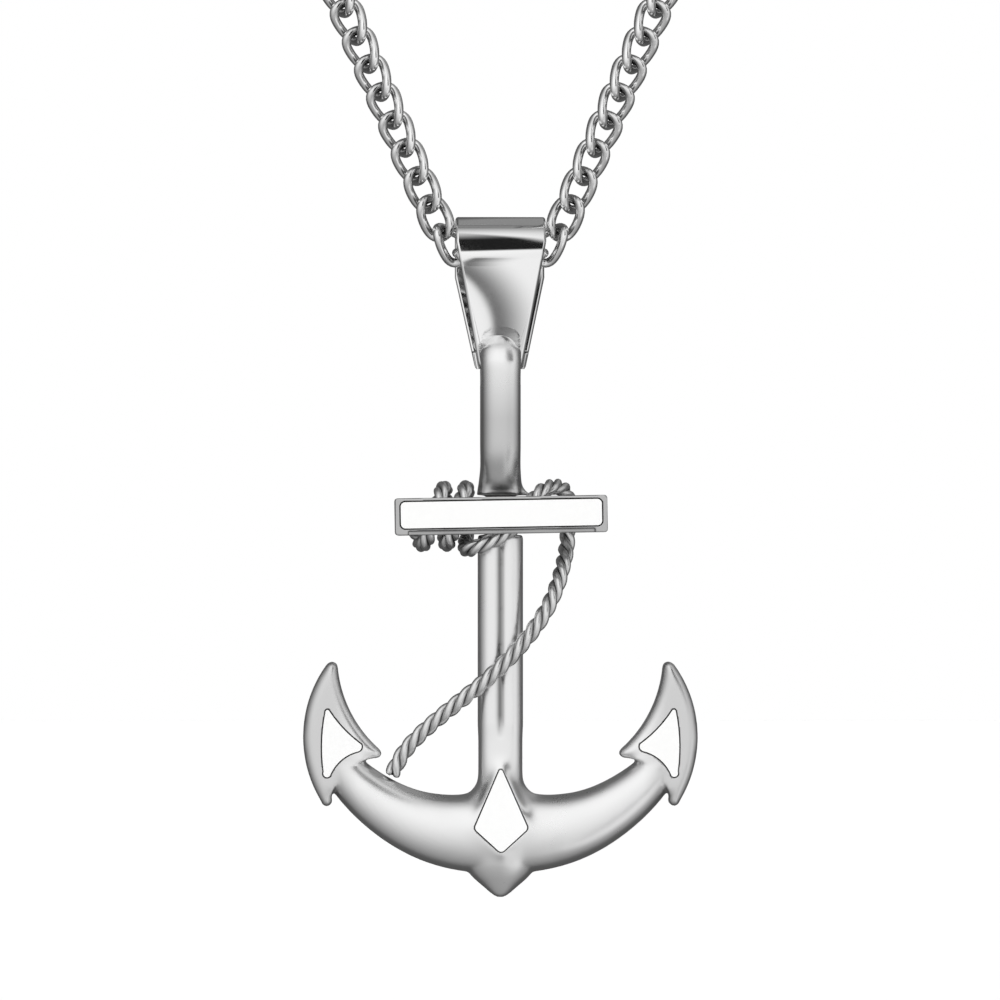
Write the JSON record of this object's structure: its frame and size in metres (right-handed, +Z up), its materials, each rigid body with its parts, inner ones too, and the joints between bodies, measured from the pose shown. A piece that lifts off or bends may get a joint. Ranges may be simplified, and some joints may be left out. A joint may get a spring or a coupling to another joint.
{
  "type": "anchor pendant necklace",
  "caption": "Steel anchor pendant with white enamel inlays and a rope wound round its stock, hung by a folded bail on a curb chain.",
  "frame": {"origin": "middle of the chain at the nape, where the necklace rests on the back of the neck", "axes": "+Z up, the pendant faces -Y and hangs in front of the chest, +X to the viewer's right"},
  "size_m": [0.1358, 0.0838, 0.2512],
  "materials": {
    "chain_steel": "polished steel wire, grey with dark joints",
    "clasp_steel": "polished steel, plain",
    "bail_steel": "polished stainless steel, bright with dark reflections, smooth",
    "anchor_steel": "polished stainless steel, bright with dark reflections, smooth, cast",
    "stock_steel": "polished stainless steel, bright with dark reflections, smooth",
    "rope_steel": "twisted steel strands, darkened between them",
    "white_enamel": "smooth white enamel, satin"
  },
  "bodies": {
    "necklace": {"chain_left": "chain_steel", "chain_right": "chain_steel", "centre_ring": "chain_steel", "end_ring_left": "chain_steel", "end_ring_right": "chain_steel", "clasp": "clasp_steel"},
    "bail": {"bail": "bail_steel"},
    "pendant": {"anchor": "anchor_steel", "stock": "stock_steel", "stock_inlay": "white_enamel", "crown_inlay": "white_enamel", "fluke_inlay_left": "white_enamel", "fluke_inlay_right": "white_enamel", "rope": "rope_steel"}
  },
  "joints": [
    {"name": "bail_swing", "type": "hinge", "parent": "necklace", "child": "bail", "pos_m": [0, -0.07766, -0.19246], "axis": [1, 0, 0], "range_deg": [-40, 40]},
    {"name": "anchor_swing", "type": "hinge", "parent": "bail", "child": "pendant", "pos_m": [0, -0.07766, -0.20173], "axis": [1, 0, 0], "range_deg": [-20, 20]}
  ]
}
